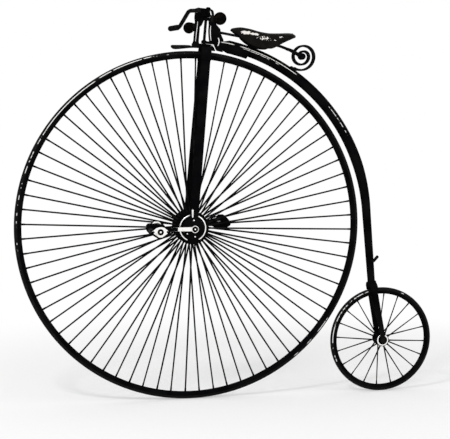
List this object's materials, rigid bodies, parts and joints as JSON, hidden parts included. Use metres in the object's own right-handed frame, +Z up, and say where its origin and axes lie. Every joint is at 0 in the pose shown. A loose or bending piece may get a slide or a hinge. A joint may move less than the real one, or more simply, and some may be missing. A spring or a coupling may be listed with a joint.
{
  "type": "penny farthing bicycle",
  "caption": "High-wheel bicycle with a large front driving wheel, a small trailing wheel, a curved backbone, an open steering head and a sprung leather saddle.",
  "frame": {"origin": "on top of the saddle where the rider sits, which is the mount that holds the machine up", "axes": "+X back along the machine from the driving wheel to the trailing wheel, -Y to the rider's left, +Z up"},
  "size_m": [1.6896, 0.693, 1.5416],
  "materials": {
    "enamel": "black stove enamel, semi-gloss",
    "steel": "dark oiled steel",
    "spring_steel": "blued spring steel",
    "nickel": "polished nickel plate",
    "tyre": "solid black rubber, smooth",
    "rubber": "moulded black rubber",
    "leather": "waxed black saddle leather",
    "horn": "polished black horn"
  },
  "bodies": {
    "frame": {"backbone": "enamel", "neck": "enamel", "rear_crown": "enamel", "rear_blade_left": "enamel", "rear_blade_right": "enamel", "rear_axle": "steel", "step": "steel", "saddle_spring": "spring_steel", "saddle_scroll": "spring_steel", "scroll_bolt": "steel", "scroll_clip": "enamel", "saddle_leather": "leather", "saddle_cantle": "steel", "saddle_nose_clip": "steel"},
    "front_fork": {"fork_crown": "enamel", "fork_blade_left": "enamel", "fork_blade_right": "enamel", "bearing_left": "enamel", "bearing_right": "enamel", "head_cup": "nickel", "head_top": "enamel", "head_dome": "nickel", "handlebar": "enamel", "grip_left": "horn", "grip_right": "horn", "head_column": "enamel", "brake_plunger": "steel", "brake_spoon": "steel", "brake_lever": "steel"},
    "front_wheel": {"front_tyre": "tyre", "front_rim": "enamel", "front_spokes": "steel", "front_hub": "enamel", "front_axle": "steel", "crank_left": "nickel", "crank_right": "nickel"},
    "pedal_left": {"pedal_left": "nickel", "pedal_left_blocks": "rubber"},
    "pedal_right": {"pedal_right": "nickel", "pedal_right_blocks": "rubber"},
    "rear_wheel": {"rear_tyre": "tyre", "rear_rim": "enamel", "rear_spokes": "steel", "rear_hub": "enamel"}
  },
  "joints": [
    {"name": "steering", "type": "hinge", "parent": "frame", "child": "front_fork", "pos_m": [-0.26453, 0, -0.01003], "axis": [0.0819, 0, 0.9966], "range_deg": [-45, 45]},
    {"name": "front_wheel_spin", "type": "hinge", "parent": "front_fork", "child": "front_wheel", "pos_m": [-0.32, 0, -0.758], "axis": [0, 1, 0], "continuous": true},
    {"name": "pedal_left_spin", "type": "hinge", "parent": "front_wheel", "child": "pedal_left", "pos_m": [-0.468, -0.15, -0.758], "axis": [0, 1, 0], "continuous": true},
    {"name": "pedal_right_spin", "type": "hinge", "parent": "front_wheel", "child": "pedal_right", "pos_m": [-0.172, 0.15, -0.758], "axis": [0, 1, 0], "continuous": true},
    {"name": "rear_wheel_spin", "type": "hinge", "parent": "frame", "child": "rear_wheel", "pos_m": [0.47084, 0, -1.231], "axis": [0, 1, 0], "continuous": true}
  ]
}
